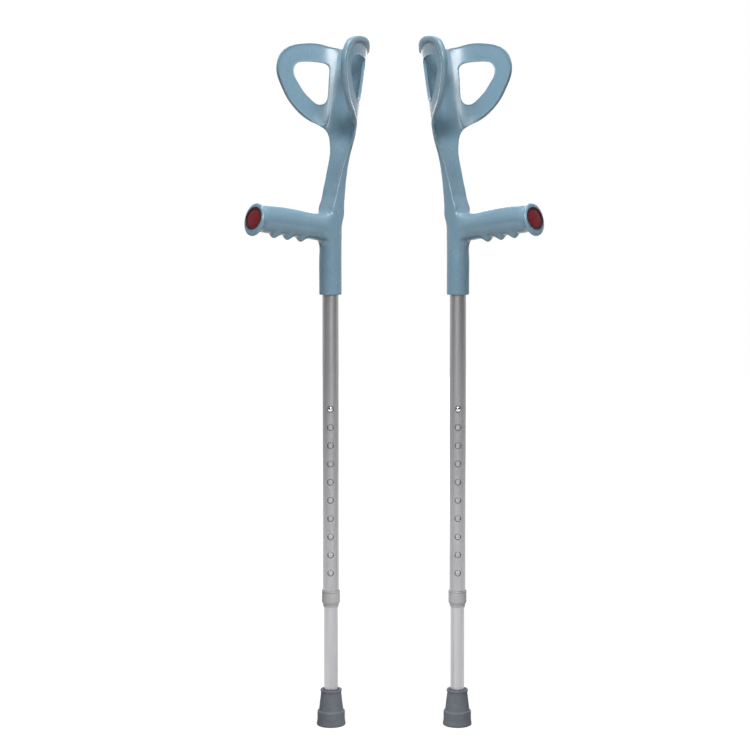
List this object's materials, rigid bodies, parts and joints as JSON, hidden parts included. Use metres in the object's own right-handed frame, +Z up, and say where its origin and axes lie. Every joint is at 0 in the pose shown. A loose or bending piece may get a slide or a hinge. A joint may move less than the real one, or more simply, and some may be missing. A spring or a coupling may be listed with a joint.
{
  "type": "forearm crutches",
  "caption": "Height-adjustable elbow crutches, left and right, with open pierced cuffs, moulded grips with finger ridges, telescoping tubes, snap buttons and rubber feet.",
  "frame": {"origin": "on the floor, midway between the two crutches and midway in the pair's depth", "axes": "+Z up along the tubes; -Y is the side the snap buttons face; the left crutch is on -X and the right one on +X"},
  "size_m": [0.392, 0.1692, 0.9395],
  "materials": {
    "handle": "satin moulded polypropylene",
    "reflector_base": "dark satin",
    "reflector_lens": "clear-topped red",
    "upper_tube": "satin anodised",
    "tube_collar": "satin",
    "lower_tube": "satin anodised",
    "guide_bush": "satin",
    "snap_button": "bright",
    "button_spring": "bright",
    "ferrule": "matt",
    "ferrule_washer": "plain"
  },
  "bodies": {
    "uppers": {"left_handle": "handle", "left_reflector_base": "reflector_base", "left_reflector_lens": "reflector_lens", "left_upper_tube": "upper_tube", "left_tube_collar": "tube_collar", "right_handle": "handle", "right_reflector_base": "reflector_base", "right_reflector_lens": "reflector_lens", "right_upper_tube": "upper_tube", "right_tube_collar": "tube_collar"},
    "left_leg": {"left_lower_tube": "lower_tube", "left_guide_bush": "guide_bush", "left_button_spring": "button_spring", "left_ferrule": "ferrule", "left_ferrule_washer": "ferrule_washer"},
    "left_button": {"left_snap_button": "snap_button"},
    "right_leg": {"right_lower_tube": "lower_tube", "right_guide_bush": "guide_bush", "right_button_spring": "button_spring", "right_ferrule": "ferrule", "right_ferrule_washer": "ferrule_washer"},
    "right_button": {"right_snap_button": "snap_button"}
  },
  "joints": [
    {"name": "left_height", "type": "slide", "parent": "uppers", "child": "left_leg", "axis": [0, 0, -1], "range_m": [0, 0.225], "deforming": ["left_snap_button"]},
    {"name": "left_button_press", "type": "slide", "parent": "left_leg", "child": "left_button", "axis": [0, 1, 0], "range_m": [0, 0.0042], "stiffness_N_per_m": 600, "deforming": ["left_button_spring"]},
    {"name": "right_height", "type": "slide", "parent": "uppers", "child": "right_leg", "axis": [0, 0, -1], "range_m": [0, 0.225], "deforming": ["right_snap_button"]},
    {"name": "right_button_press", "type": "slide", "parent": "right_leg", "child": "right_button", "axis": [0, 1, 0], "range_m": [0, 0.0042], "stiffness_N_per_m": 600, "deforming": ["right_button_spring"]}
  ]
}
